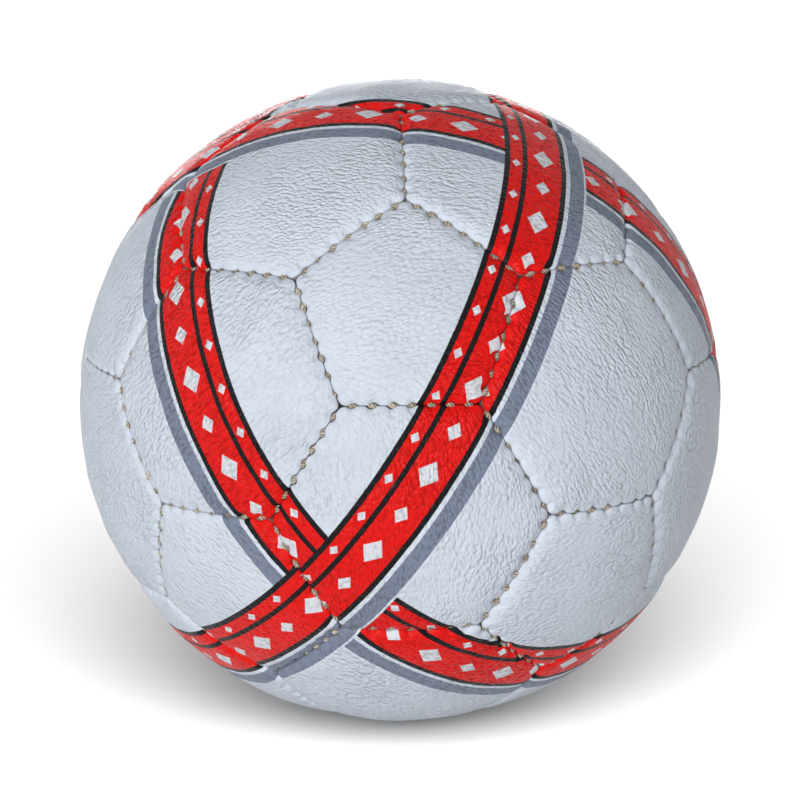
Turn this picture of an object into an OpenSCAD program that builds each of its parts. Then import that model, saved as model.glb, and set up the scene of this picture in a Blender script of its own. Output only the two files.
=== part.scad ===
// Handball of 32 hand-sewn panels, millimetres, +Z up.
// The origin is the ball's centre, +Z runs out through the middle of the top pentagon panel,
// and the pentagon panel at the front of the upper ring faces -Y.

/* [Ball] */
// Diameter over the crowns of the panels, inflated
ball_d = 188; // [140:1:240]
// How far the sewn edge of a panel lies below its crown
panel_dip = 0.3; // [0.1:0.05:0.8]

/* [Panels] */
// Thickness of a panel's cover
cover_t = 1.1; // [0.8:0.05:1.3]
// Thickness of the woven lining behind the cover
lining_t = 1.1; // [0.7:0.05:1.3]
// Film of glue between cover and lining
bond_gap = 0.05; // [0.02:0.01:0.1]
// Width of the seam between two turned edges at their rims
seam_gap = 0.4; // [0.2:0.05:0.6]
// How far a turned edge leans away from its neighbour, in degrees, which opens the seam
edge_lean = 6; // [3:0.5:9]
// How deep the turned edge reaches below the crown
flange_depth = 5.4; // [5:0.1:7]

/* [Sewing] */
// Diameter of the waxed thread where it crosses a seam
stitch_d = 0.8; // [0.5:0.05:0.9]
// Width of the thread where it runs along the inside of a seam, pressed flat
run_w = 1; // [0.95:0.05:1.1]
// Thickness of that flattened thread
run_t = 0.6; // [0.4:0.05:0.8]
// Stitches in each seam
stitches = 7; // [5:1:9]
// Distance from a corner of a panel to its first stitch
stitch_margin = 3.5; // [3.4:0.1:6]
// Depth of the line of stitches below the back of the lining
stitch_depth = 0.8; // [0.75:0.05:1.1]
// Clearance around the thread in its holes and along the linings
thread_clearance = 0.1; // [0.05:0.01:0.15]

/* [Bladder] */
// Wall of the rubber bladder
bladder_t = 1.2; // [0.6:0.1:2]
// Clearance between the bladder and the sewn shell
bladder_clearance = 0.25; // [0.2:0.05:0.4]

/* [Valve] */
// Diameter of the valve stem in the panel
stem_d = 8; // [6:0.1:10]
// How far the end of the stem lies below the crown of its panel
stem_recess = 0.3; // [0.1:0.05:0.8]
// Clearance around the stem in the cover, the lining and the bladder
stem_clearance = 0.1; // [0.05:0.01:0.3]
// Diameter of the flange inside the bladder
flange_d = 24; // [16:0.5:30]
// Thickness of that flange
flange_t = 1.2; // [0.8:0.1:2]
// Film of glue between the flange and the bladder
flange_bond = 0.05; // [0.02:0.01:0.1]
// Length of the whole stem
stem_l = 18; // [12:0.5:26]
// Diameter of the self-sealing core
core_d = 5; // [4:0.1:6]
// Clearance around the core in the stem
core_clearance = 0.05; // [0.02:0.01:0.1]
// How far the end of the core lies below the end of the stem
core_recess = 0.4; // [0.2:0.1:1]
// Length of the core
core_l = 15; // [10:0.5:20]
// Diameter of the needle's way through the core
needle_d = 2; // [1.6:0.1:2.4]

/* [Hidden] */

// Overrun of every cut
cut = 1;
// Facets of the large round faces, and of the small ones
$fn = 144;
small_fn = 24;

// The 32 panels: pentagons stand on the twelve corners of an icosahedron, hexagons on its faces.
// These are the angles between the axis of a panel and the poles.
ring = 72;
front = -90;
pentagon_tilt = atan(2);
top_hexagon_tilt = atan(3 - sqrt(5));
upper_hexagon_tilt = atan(3 + sqrt(5));

// Angles from the axis of a panel to its corners and to the middles of its edges
pentagon_corner = atan(sin(pentagon_tilt) / (2 + cos(pentagon_tilt)));
pentagon_edge = atan(tan(pentagon_corner) * cos(ring / 2));
hexagon_edge = top_hexagon_tilt - pentagon_edge;
// Half of the angle that a seam spans, seen from the centre of the ball
seam_half = acos(cos(pentagon_corner) / cos(pentagon_edge));

crown_r = ball_d / 2;
crest_r = crown_r - panel_dip;
rim_r = crown_r - flange_depth;
lining_out = cover_t + bond_gap;
wall_t = lining_out + lining_t;

// The thread runs along the backs of the turned edges
hole_d = stitch_d + 2 * thread_clearance;
run_r = crest_r - wall_t - stitch_depth;
run_side = seam_gap / 2 + (run_r - rim_r) * tan(edge_lean) + wall_t / cos(edge_lean)
    + thread_clearance;
stitch_end = seam_half - asin(stitch_margin / crown_r);

bladder_r = rim_r - bladder_clearance;
pillow_side = wall_t + thread_clearance + run_t + bladder_clearance;
pillow_top = wall_t + bladder_clearance;

// The valve stands on its panel's axis
stem_top = crown_r - stem_recess;
core_top = stem_top - core_recess;

function axis(polar, azimuth) = [sin(polar) * cos(azimuth), sin(polar) * sin(azimuth), cos(polar)];

// The axes of the panels, ring by ring from the top. The lower half mirrors the upper one.
top_pentagon = axis(0, 0);
bottom_pentagon = -top_pentagon;
upper_pentagons = [for (i = [0:4]) axis(pentagon_tilt, front + ring * i)];
lower_pentagons = [for (p = upper_pentagons) -p];
top_hexagons = [for (i = [0:4]) axis(top_hexagon_tilt, front + ring * (i + 1 / 2))];
upper_hexagons = [for (i = [0:4]) axis(upper_hexagon_tilt, front + ring * (i + 1 / 2))];
lower_hexagons = [for (h = upper_hexagons) -h];
bottom_hexagons = [for (h = top_hexagons) -h];
valve_hexagon = upper_hexagons[2];
pentagons = concat([top_pentagon, bottom_pentagon], upper_pentagons, lower_pentagons);
hexagons = concat(top_hexagons, upper_hexagons, lower_hexagons, bottom_hexagons);
plain_hexagons = [for (h = hexagons) if (h != valve_hexagon) h];

// Cosines that tell which panels are neighbours, with a degree of room for rounding
rounding = 1;
near_pentagon = cos(pentagon_tilt + rounding);
near_hexagon = cos(top_hexagon_tilt + rounding);

function unit(v) = v / norm(v);

// A direction square to n, in the plane of n and v
function square_to(n, v) = unit(v - n * (n * v));

// Where a panel's first edge middle points: away from any pentagon next to it
function pentagon_first(n) =
    let (near = [for (p = pentagons) if (p * n > near_pentagon && p * n < near_hexagon) p])
    square_to(n, -near[0]);
function hexagon_first(n) =
    let (near = [for (p = pentagons) if (p * n > near_hexagon) p])
    square_to(n, near[0]);

// The dome of a panel is a sphere through its crown and the middles of its edges.
// How far that sphere's centre lies from the ball's centre, along the panel's axis
function dome_shift(edge) =
    (crown_r * crown_r - crest_r * crest_r) / (2 * (crown_r - crest_r * cos(edge)));

// Lays the children's +Z along n and their +X along x
module lay(n, x) {
    y = cross(n, x);
    multmatrix([
        [x[0], y[0], n[0], 0],
        [x[1], y[1], n[1], 0],
        [x[2], y[2], n[2], 0],
        [0, 0, 0, 1]
    ]) children();
}

// What lies beyond the turned edge on the +X side of a panel, with the edge in by inset
module beyond_side(edge, inset) {
    reach = 2 * crown_r;
    rotate([0, edge, 0])
    translate([-seam_gap / 2, 0, rim_r])
    rotate([0, -edge_lean, 0])
    translate([-inset, -reach, -reach])
    cube(2 * reach);
}

// A panel's outer form, with its dome in by inset_top and its turned edges by inset_side
module panel_form(sides, edge, inset_top, inset_side) {
    shift = dome_shift(edge);
    difference() {
        translate([0, 0, shift]) sphere(r = crown_r - shift - inset_top);
        for (i = [0:sides - 1])
            rotate([0, 0, 360 / sides * i]) beyond_side(edge, inset_side);
    }
}

// The holes that an awl leaves through the turned edges of a panel
module stitch_holes(sides, edge) {
    hole_l = 2 * (run_side + cut);
    for (i = [0:sides - 1], j = [0:stitches - 1])
        rotate([0, 0, 360 / sides * i])
        rotate([0, edge, 0])
        rotate([stitch_end * (2 * j / (stitches - 1) - 1), 0, 0])
        translate([-hole_l / 2, 0, run_r])
        rotate([0, 90, 0])
        cylinder(h = hole_l, d = hole_d, $fn = small_fn);
}

// One layer of a panel, from inset outer_t in to inset inner_t, open at its back
module panel_layer(sides, edge, outer_t, inner_t) {
    difference() {
        panel_form(sides, edge, outer_t, outer_t);
        panel_form(sides, edge, inner_t, inner_t);
        sphere(r = rim_r);
        stitch_holes(sides, edge);
    }
}

module pentagon_cover(n) {
    color("ghostwhite")
    lay(n, pentagon_first(n)) panel_layer(5, pentagon_edge, 0, cover_t);
}

module hexagon_cover(n) {
    color("ghostwhite")
    lay(n, hexagon_first(n)) panel_layer(6, hexagon_edge, 0, cover_t);
}

// The way of the valve stem out through a panel
module valve_hole() {
    cylinder(h = crown_r + cut, d = stem_d + 2 * stem_clearance);
}

module valve_hexagon_panel() {
    color("ghostwhite")
    lay(valve_hexagon, hexagon_first(valve_hexagon))
    difference() {
        panel_layer(6, hexagon_edge, 0, cover_t);
        valve_hole();
    }
}

module pentagon_linings() {
    color("wheat")
    for (n = pentagons)
        lay(n, pentagon_first(n)) panel_layer(5, pentagon_edge, lining_out, wall_t);
}

module hexagon_linings() {
    color("wheat")
    for (n = plain_hexagons)
        lay(n, hexagon_first(n)) panel_layer(6, hexagon_edge, lining_out, wall_t);
}

module valve_hexagon_lining() {
    color("wheat")
    lay(valve_hexagon, hexagon_first(valve_hexagon))
    difference() {
        panel_layer(6, hexagon_edge, lining_out, wall_t);
        valve_hole();
    }
}

// The thread of one seam: two flattened runs inside, joined by the stitches that cross it.
// The seam lies along Y, its middle is at +Z.
module seam_thread() {
    reach = stitch_end + asin(run_w / 2 / run_r);
    for (x = [run_side, -run_side - run_t])
        translate([x + run_t, 0, 0])
        rotate([0, -90, 0])
        rotate([0, 0, -reach])
        rotate_extrude(angle = 2 * reach)
        translate([run_r - run_w / 2, 0])
        square([run_w, run_t]);
    for (j = [0:stitches - 1])
        rotate([stitch_end * (2 * j / (stitches - 1) - 1), 0, 0])
        translate([-run_side - run_t / 2, 0, run_r])
        rotate([0, 90, 0])
        cylinder(h = 2 * run_side + run_t, d = stitch_d, $fn = small_fn);
}

// Between a pentagon and each hexagon next to it
module pentagon_seam_threads() {
    color("tan")
    for (p = pentagons, h = hexagons)
        if (p * h > near_hexagon) {
            side = square_to(p, h);
            middle = p * cos(pentagon_edge) + side * sin(pentagon_edge);
            lay(middle, square_to(middle, side)) seam_thread();
        }
}

// Between two hexagons, from the corner of one pentagon to that of the next
module hexagon_seam_threads() {
    color("tan")
    for (i = [0:len(pentagons) - 1], j = [0:len(pentagons) - 1])
        if (i < j && pentagons[i] * pentagons[j] > near_pentagon) {
            middle = unit(pentagons[i] + pentagons[j]);
            along = square_to(middle, pentagons[j]);
            lay(middle, cross(along, middle)) seam_thread();
        }
}

// The bladder fills the pocket behind each panel
module pillow(sides, edge, inset) {
    difference() {
        panel_form(sides, edge, pillow_top + inset, pillow_side + inset);
        sphere(r = bladder_r - inset - cut);
    }
}

// The bladder's outer form, with its whole skin in by inset
module bladder_form(inset) {
    sphere(r = bladder_r - inset);
    for (n = pentagons) lay(n, pentagon_first(n)) pillow(5, pentagon_edge, inset);
    for (n = hexagons) lay(n, hexagon_first(n)) pillow(6, hexagon_edge, inset);
}

module bladder() {
    color("dimgray")
    difference() {
        bladder_form(0);
        bladder_form(bladder_t);
        lay(valve_hexagon, hexagon_first(valve_hexagon)) valve_hole();
    }
}

// A stem with a domed flange that lies against the bladder from inside
module valve_body() {
    shift = dome_shift(hexagon_edge);
    flange_out = crown_r - shift - pillow_top - bladder_t - flange_bond;
    color("darkslategray")
    lay(valve_hexagon, hexagon_first(valve_hexagon))
    difference() {
        union() {
            translate([0, 0, stem_top - stem_l]) cylinder(h = stem_l, d = stem_d);
            intersection() {
                difference() {
                    translate([0, 0, shift]) sphere(r = flange_out);
                    translate([0, 0, shift]) sphere(r = flange_out - flange_t);
                }
                cylinder(h = crown_r, d = flange_d);
            }
        }
        translate([0, 0, stem_top - stem_l - cut])
        cylinder(h = stem_l + 2 * cut, d = core_d + 2 * core_clearance);
    }
}

// The plug that closes again behind the needle
module valve_core() {
    color("black")
    lay(valve_hexagon, hexagon_first(valve_hexagon))
    translate([0, 0, core_top - core_l])
    difference() {
        cylinder(h = core_l, d = core_d);
        translate([0, 0, -cut]) cylinder(h = core_l + 2 * cut, d = needle_d);
    }
}

pentagon_cover(top_pentagon);  // top_pentagon_panel
pentagon_cover(upper_pentagons[0]);  // upper_pentagon_panel_1
pentagon_cover(upper_pentagons[1]);  // upper_pentagon_panel_2
pentagon_cover(upper_pentagons[2]);  // upper_pentagon_panel_3
pentagon_cover(upper_pentagons[3]);  // upper_pentagon_panel_4
pentagon_cover(upper_pentagons[4]);  // upper_pentagon_panel_5
pentagon_cover(lower_pentagons[0]);  // lower_pentagon_panel_1
pentagon_cover(lower_pentagons[1]);  // lower_pentagon_panel_2
pentagon_cover(lower_pentagons[2]);  // lower_pentagon_panel_3
pentagon_cover(lower_pentagons[3]);  // lower_pentagon_panel_4
pentagon_cover(lower_pentagons[4]);  // lower_pentagon_panel_5
pentagon_cover(bottom_pentagon);  // bottom_pentagon_panel
hexagon_cover(top_hexagons[0]);  // top_hexagon_panel_1
hexagon_cover(top_hexagons[1]);  // top_hexagon_panel_2
hexagon_cover(top_hexagons[2]);  // top_hexagon_panel_3
hexagon_cover(top_hexagons[3]);  // top_hexagon_panel_4
hexagon_cover(top_hexagons[4]);  // top_hexagon_panel_5
hexagon_cover(upper_hexagons[0]);  // upper_hexagon_panel_1
hexagon_cover(upper_hexagons[1]);  // upper_hexagon_panel_2
valve_hexagon_panel();
hexagon_cover(upper_hexagons[3]);  // upper_hexagon_panel_3
hexagon_cover(upper_hexagons[4]);  // upper_hexagon_panel_4
hexagon_cover(lower_hexagons[0]);  // lower_hexagon_panel_1
hexagon_cover(lower_hexagons[1]);  // lower_hexagon_panel_2
hexagon_cover(lower_hexagons[2]);  // lower_hexagon_panel_3
hexagon_cover(lower_hexagons[3]);  // lower_hexagon_panel_4
hexagon_cover(lower_hexagons[4]);  // lower_hexagon_panel_5
hexagon_cover(bottom_hexagons[0]);  // bottom_hexagon_panel_1
hexagon_cover(bottom_hexagons[1]);  // bottom_hexagon_panel_2
hexagon_cover(bottom_hexagons[2]);  // bottom_hexagon_panel_3
hexagon_cover(bottom_hexagons[3]);  // bottom_hexagon_panel_4
hexagon_cover(bottom_hexagons[4]);  // bottom_hexagon_panel_5
pentagon_linings();
hexagon_linings();
valve_hexagon_lining();
pentagon_seam_threads();
hexagon_seam_threads();
bladder();
valve_body();
valve_core();
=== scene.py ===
"""The looks of the handball: 32 sewn panels of pebbled leather, their thread and a printed pattern.

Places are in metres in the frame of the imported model. What the materials of the leather and the thread read
for each point is in millimetres."""
import math

import bpy
import numpy as np
from mathutils import Matrix, Vector


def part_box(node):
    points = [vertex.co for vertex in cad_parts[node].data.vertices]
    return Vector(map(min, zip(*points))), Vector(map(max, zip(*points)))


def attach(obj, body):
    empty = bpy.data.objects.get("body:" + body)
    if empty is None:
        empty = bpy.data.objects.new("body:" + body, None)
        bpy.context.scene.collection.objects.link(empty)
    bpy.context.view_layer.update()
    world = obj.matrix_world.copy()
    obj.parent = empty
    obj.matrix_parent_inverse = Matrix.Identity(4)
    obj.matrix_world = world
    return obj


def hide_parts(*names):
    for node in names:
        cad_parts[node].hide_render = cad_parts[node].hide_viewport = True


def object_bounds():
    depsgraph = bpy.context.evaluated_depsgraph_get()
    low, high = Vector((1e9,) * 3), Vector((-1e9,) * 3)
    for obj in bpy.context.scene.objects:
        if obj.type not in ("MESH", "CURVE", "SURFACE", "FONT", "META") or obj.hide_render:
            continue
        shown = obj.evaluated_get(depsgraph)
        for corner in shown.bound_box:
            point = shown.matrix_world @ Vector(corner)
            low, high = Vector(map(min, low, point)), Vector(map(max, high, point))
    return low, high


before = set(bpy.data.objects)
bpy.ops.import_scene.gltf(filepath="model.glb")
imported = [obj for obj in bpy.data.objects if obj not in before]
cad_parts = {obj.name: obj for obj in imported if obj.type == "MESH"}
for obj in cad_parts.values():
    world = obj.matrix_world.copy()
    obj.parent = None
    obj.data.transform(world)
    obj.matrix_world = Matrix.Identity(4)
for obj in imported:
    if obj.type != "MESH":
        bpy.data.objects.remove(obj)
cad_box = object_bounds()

MM = 0.001
SEED = 32
rng = np.random.default_rng(SEED)

# The ball's size comes from the frame: the crown of the top panel is its highest point. The crest is how far
# out a panel's dome is at the middle of an edge
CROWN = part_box("top_pentagon_panel")[1].z
CREST = CROWN - 0.3 * MM

# Panels: how thick a cover is, how far its edge turns in, and the rounds of that turn and of the corners
COVER = 1.1 * MM
FLANGE = 5.2 * MM
ROLL_WIDTH = 1.7 * MM
ROLL_DEPTH = 1.0 * MM
INNER_ROLL_WIDTH = ROLL_WIDTH - COVER + 0.5 * MM
INNER_ROLL_DEPTH = ROLL_DEPTH - COVER + 0.4 * MM
CORNER_RADIUS = 2.4 * MM
FLANGE_ROUND = 0.12 * MM
FLANGE_BACK_ROUND = 0.15 * MM
VALVE_HOLE = 4.1 * MM
VALVE_RIM = 0.45 * MM

# How far an edge stands back from the middle of its seam, the lengths of the waves by which this changes, its
# limits as shares, and how much further the edge stands back at a corner. It begins to open at the first of
# two distances from the corner and is open at the second
SEAM_GAP = 0.016 * MM
GAP_WAVES = (3.5 * MM, 8.0 * MM)
GAP_WAVE_COUNT = 3
GAP_SHARES = (0.3, 3)
CORNER_GAP = 0.13 * MM
CORNER_OPEN = (3.2 * MM, 0.9 * MM)

# Stitches: how far the last one is from the corner, how far each reaches along the seam from its middle, and
# how far that middle is under the crest. Widths and slants are shares, with their middle, spread and limits
STITCHES = 7
STITCH_MARGIN = 3.5 * MM
STITCH_SPREAD = 0.22 * MM
STITCH_WIDTH_SHARES = (1, 0.2, 0.62, 1.4)
STITCH_SLANT_SHARES = (0.32, 0.11, 0.08, 0.6)
STITCH_REACH = 0.78 * MM
STITCH_TOP = 0.92 * MM
STITCH_TOP_SPREAD = 0.16 * MM
STITCH_TOP_LIMITS = (-0.35 * MM, 0.2 * MM)
STITCH_STEPS = 26
SPLINE_STEPS = 12

# The arch of half a stitch: shares of its reach along and across the seam, and the fall from its middle
STITCH_ARCH = ((0.75, 0.4, 0.04 * MM), (0.97, 1.0, 0.5 * MM), (0.92, 1.9, 1.3 * MM))

# How much further the thread is drawn in: the most for the whole of a seam and for one stitch. It changes
# along the seam, by the swing's share of it, as a wave that moves on by one radian in this length
TIGHTEST = 1.1 * MM
TIGHTEST_STITCH = 1.3 * MM
TIGHTNESS_SWING = 0.75
TIGHTNESS_LENGTH = 7 * MM

# Strands are twisted together in a stitch. Painted shade darkens them near the middle of the twist, where
# they
# press together: up to the first of two shares of a strand's radius beyond the orbit, and none from the
# second
STRANDS = 3
STRAND = 0.31 * MM
STRAND_ORBIT = 0.37 * MM
STRAND_PITCH = 2.8 * MM
STRAND_SIDES = 6
STRAND_SHADE_SHARES = (0.15, 0.85)

# The runs of thread behind a seam: how far under the crest and to each side of the seam, and how they wave
THREAD_DEPTH = 3.05 * MM
THREAD_BEHIND = 3.1 * MM
THREAD_SHIFT = 0.25 * MM
RUN_RADIUS = 0.42 * MM
RUN_END = 0.4 * MM
RUN_WAVE = 0.05 * MM
RUN_WAVE_LENGTH = 2.6 * MM
RUN_STEPS = 25

# Slits that the stitches pull open, pointed at their ends and shifted along the seam on each side of it, and
# the dimples around them. The pull fades from the first to the second distance from the edge, and most of it
# down the flange
SLIT_LENGTH = 1.47 * MM
SLIT_WIDTH = 0.72 * MM
SLIT_SHIFT = 0.36 * MM
SLIT_POINT = 1.4
DIMPLE = 0.3 * MM
DIMPLE_WIDTH = 1.7 * MM
DIMPLE_SHORTER = 1.1
PULL_FADE = (0.4 * MM, 3.4 * MM)
FLANGE_FADE = 0.85

# How far the skin sinks towards a seam: at the corners, the spread of the seams around that, and the limits.
# The lining lies 1.15 mm under the skin. The corners' sink takes over between two shares of half a seam
SINK = 0.5 * MM
SINK_SPREAD = 0.26 * MM
SHALLOWEST_SINK = 0.1 * MM
DEEPEST_SINK = 0.8 * MM
SINK_WIDTH = 3.2 * MM
SINK_FADE_SHARES = (0.6, 0.88)

# Slow waves of the inflated skin, as lengths and heights, and how many ways each runs. They begin between the
# first and the second distance from the edge
SWELLS = ((34 * MM, 0.05 * MM), (21 * MM, 0.04 * MM), (13 * MM, 0.03 * MM), (8 * MM, 0.018 * MM))
SWELL_WAYS = 5
SWELL_FADE = (0.5 * MM, 6 * MM)

# Steps along one side of a panel, at its edge, and how many of them go round half a corner
SIDE_STEPS = 80
CORNER_STEPS = 3

# Rings of a panel's face and of its back: the first gap between them, its growth, and the widest gap. They
# stop at this distance from the middle, or at this share of the hole's radius
FACE_GAPS = (0.35 * MM, 1.22, 1.9 * MM)
BACK_GAPS = (1.2 * MM, 1.4, 3.5 * MM)
MIDDLE = 1.2 * MM
HOLE_SHARE = 1.6

# A ring has half the steps from the first distance from the edge, a quarter from the second, and an eighth
# within the third distance of the panel's middle
COARSER = (4.5 * MM, 9 * MM, 9 * MM)
ROLL_RINGS = 9
INNER_ROLL_RINGS = 5
FLANGE_SHARES = (0.12, 0.3, 0.6, 0.97)
FLANGE_BACK_SHARES = (0.6, 0.2)
VALVE_RIM_RINGS = 5

# How far the print of each panel is turned off its neighbours', in radians, how far its grain is taken from
# another place, in mm, and how strong its grain is
PRINT_SLIP = 0.011
GRAIN_SHIFT = 300
GRAIN_STRENGTH = (0.8, 1.08)

# Light: the sky's level and how it changes with the direction, then for each sun its azimuth and elevation in
# degrees, its power and its width in degrees
SKY = 0.30
SKY_SLOPE = (0.2, 0.0, -0.3)
KEY_SUN = (-21, 3, 3.45, 40)
FLOOR_SUN = (0, 29, 12.5, 48)
BACK_SUN = (180, 0, 1.9, 30)

# The floor, with its colour for the rays that show it and for the light that it gives the ball
FLOOR_HALF = 6.0
FLOOR_SEEN = (0.50, 0.50, 0.50, 1)
FLOOR_LIT = (0.16, 0.16, 0.16, 1)

# The camera, from a fit of the ball's outline and of its seams' corners in the photograph
CAMERA_AZIMUTH = math.radians(-1.75)
CAMERA_ELEVATION = math.radians(11.0)
CAMERA_LEAN = math.radians(-0.54)
CAMERA_DISTANCE = 9.3 * CROWN
CAMERA_LENS = 133.7


def axis(polar, azimuth):
    """The direction at these angles, in radians, from +Z and from +X."""
    flat = math.sin(polar)
    return np.array([flat * math.cos(azimuth), flat * math.sin(azimuth), math.cos(polar)])


def unit(v):
    """Vectors of length 1 in the same directions."""
    return v / np.linalg.norm(v, axis=-1, keepdims=True)


def square_to(n, v):
    """A direction square to n, in the plane of n and v."""
    return unit(v - n * (v @ n))


# The 32 axes: pentagons on the corners of an icosahedron, hexagons on its faces
RING = 2 * math.pi / 5
FRONT = -math.pi / 2
PENTAGON_TILT = math.atan(2)
HEXAGON_TILTS = (math.atan(3 - math.sqrt(5)), math.atan(3 + math.sqrt(5)))
PENTAGON_CORNER = math.atan(math.sin(PENTAGON_TILT) / (2 + math.cos(PENTAGON_TILT)))
PENTAGON_EDGE = math.atan(math.tan(PENTAGON_CORNER) * math.cos(RING / 2))
HEXAGON_EDGE = HEXAGON_TILTS[0] - PENTAGON_EDGE

# Half a seam, as an angle, and how near to each other two cosines count as the same
SEAM_HALF = math.acos(math.cos(PENTAGON_CORNER) / math.cos(PENTAGON_EDGE))
NEAR = 0.02


def panel_axes():
    """{node: axis} of the pentagon panels and of the hexagon panels, under the names of the CAD nodes."""
    pentagons = {"top_pentagon_panel": axis(0, 0), "bottom_pentagon_panel": -axis(0, 0)}
    hexagons = {}
    hexagon_names = ["hexagon_panel_1", "hexagon_panel_2", None, "hexagon_panel_3", "hexagon_panel_4"]
    for i in range(5):
        pentagon = axis(PENTAGON_TILT, FRONT + RING * i)
        top = axis(HEXAGON_TILTS[0], FRONT + RING * (i + 0.5))
        upper = axis(HEXAGON_TILTS[1], FRONT + RING * (i + 0.5))
        pentagons[f"upper_pentagon_panel_{i + 1}"] = pentagon
        pentagons[f"lower_pentagon_panel_{i + 1}"] = -pentagon
        hexagons[f"top_hexagon_panel_{i + 1}"] = top
        hexagons[f"bottom_hexagon_panel_{i + 1}"] = -top
        name = "upper_" + hexagon_names[i] if hexagon_names[i] else "valve_hexagon_panel"
        hexagons[name] = upper
        hexagons[f"lower_hexagon_panel_{i + 1}"] = -upper
    return pentagons, hexagons


PENTAGONS, HEXAGONS = panel_axes()


def first_side(n, sides):
    """Where a panel's first edge middle points."""
    for p in PENTAGONS.values():
        cos = p @ n
        if sides == 5 and abs(cos - math.cos(PENTAGON_TILT)) < NEAR:
            return square_to(n, -p)
        if sides == 6 and abs(cos - math.cos(HEXAGON_TILTS[0])) < NEAR:
            return square_to(n, p)


def lay(n, x):
    """The matrix that turns +Z to n and +X to x."""
    return np.column_stack([x, np.cross(n, x), n])


class Seam:
    """One of the 90 seams: its middle, its direction, the side that it turns to, and its stitches.

    Sink is how far the skin sinks at its middle, and tension how far its thread is drawn in."""

    def __init__(self, middle, side, kind):
        self.middle = middle
        self.side = side
        self.along = np.cross(middle, side)
        self.kind = kind
        reach = (SEAM_HALF - math.asin(STITCH_MARGIN / CROWN)) * CREST
        places = np.linspace(-reach, reach, STITCHES)
        self.stitches = places + rng.normal(0, STITCH_SPREAD, STITCHES)
        self.widths = self.shares(*STITCH_WIDTH_SHARES)
        self.slants = self.shares(*STITCH_SLANT_SHARES)
        self.sink = float(np.clip(SINK + rng.normal(0, SINK_SPREAD), SHALLOWEST_SINK, DEEPEST_SINK))
        self.tension = rng.uniform(0, 1) * TIGHTEST
        self.waves = [(rng.uniform(*GAP_WAVES), rng.uniform(0, 7)) for _ in range(GAP_WAVE_COUNT)]

    @staticmethod
    def shares(middle, spread, low, high):
        """A share for each stitch, spread around a middle between two limits."""
        return np.clip(rng.normal(middle, spread, STITCHES), low, high)

    def sunk(self, s):
        """How far the skin sinks at the seam. It is the same at all corners, where three seams meet."""
        share = np.abs(s) / (SEAM_HALF * CREST)
        return self.sink + (SINK - self.sink) * smooth(share, *SINK_FADE_SHARES)

    def drawn(self, place):
        """How far the thread is drawn in at a stitch."""
        swing = math.sin(place / TIGHTNESS_LENGTH + self.waves[0][1])
        return min(self.tension * (1 + TIGHTNESS_SWING * swing), TIGHTEST_STITCH)

    def gap(self, s):
        """How far each edge stands back from the middle of the seam, where no stitch pulls it."""
        tight = sum(np.sin(2 * math.pi * s / length + phase) for length, phase in self.waves)
        end = SEAM_HALF * CREST - np.abs(s)
        corner = CORNER_GAP * smooth(-end, -CORNER_OPEN[0], -CORNER_OPEN[1])
        return SEAM_GAP * np.clip(1 + tight, *GAP_SHARES) + corner


def make_seams():
    """The seams between a pentagon and a hexagon, then those between two hexagons."""
    seams = []
    for p in PENTAGONS.values():
        for h in HEXAGONS.values():
            if p @ h > math.cos(HEXAGON_TILTS[0]) - NEAR:
                side = square_to(p, h)
                middle = p * math.cos(PENTAGON_EDGE) + side * math.sin(PENTAGON_EDGE)
                seams.append(Seam(middle, square_to(middle, side), "pentagon"))
    axes = list(PENTAGONS.values())
    for i, p in enumerate(axes):
        for q in axes[i + 1:]:
            if abs(p @ q - math.cos(PENTAGON_TILT)) < NEAR:
                middle = unit(p + q)
                seams.append(Seam(middle, np.cross(square_to(middle, q), middle), "hexagon"))
    return seams


SEAMS = make_seams()
SEAM_MIDDLES = np.array([s.middle for s in SEAMS])


def nearest_seam(direction):
    """The seam whose middle lies nearest to this direction."""
    return SEAMS[int(np.argmax(SEAM_MIDDLES @ direction))]


# The seam above the front pentagon sinks the most
nearest_seam(axis(PENTAGON_TILT / 2, FRONT)).sink = DEEPEST_SINK


def smooth(x, low, high):
    """0 below low, 1 above high, and smooth between."""
    t = np.clip((x - low) / (high - low), 0, 1)
    return t * t * (3 - 2 * t)


def swell(direction):
    """Slow rise and fall of the inflated skin, in metres, from a few waves in fixed directions."""
    waves = np.random.default_rng(SEED + 1)
    height = 0
    for wavelength, size in SWELLS:
        for _ in range(SWELL_WAYS):
            way = unit(waves.normal(size=3))
            turns = direction @ way * CROWN / wavelength
            height = height + size * np.sin(turns * 2 * math.pi + waves.uniform(0, 7))
    return height


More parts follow.
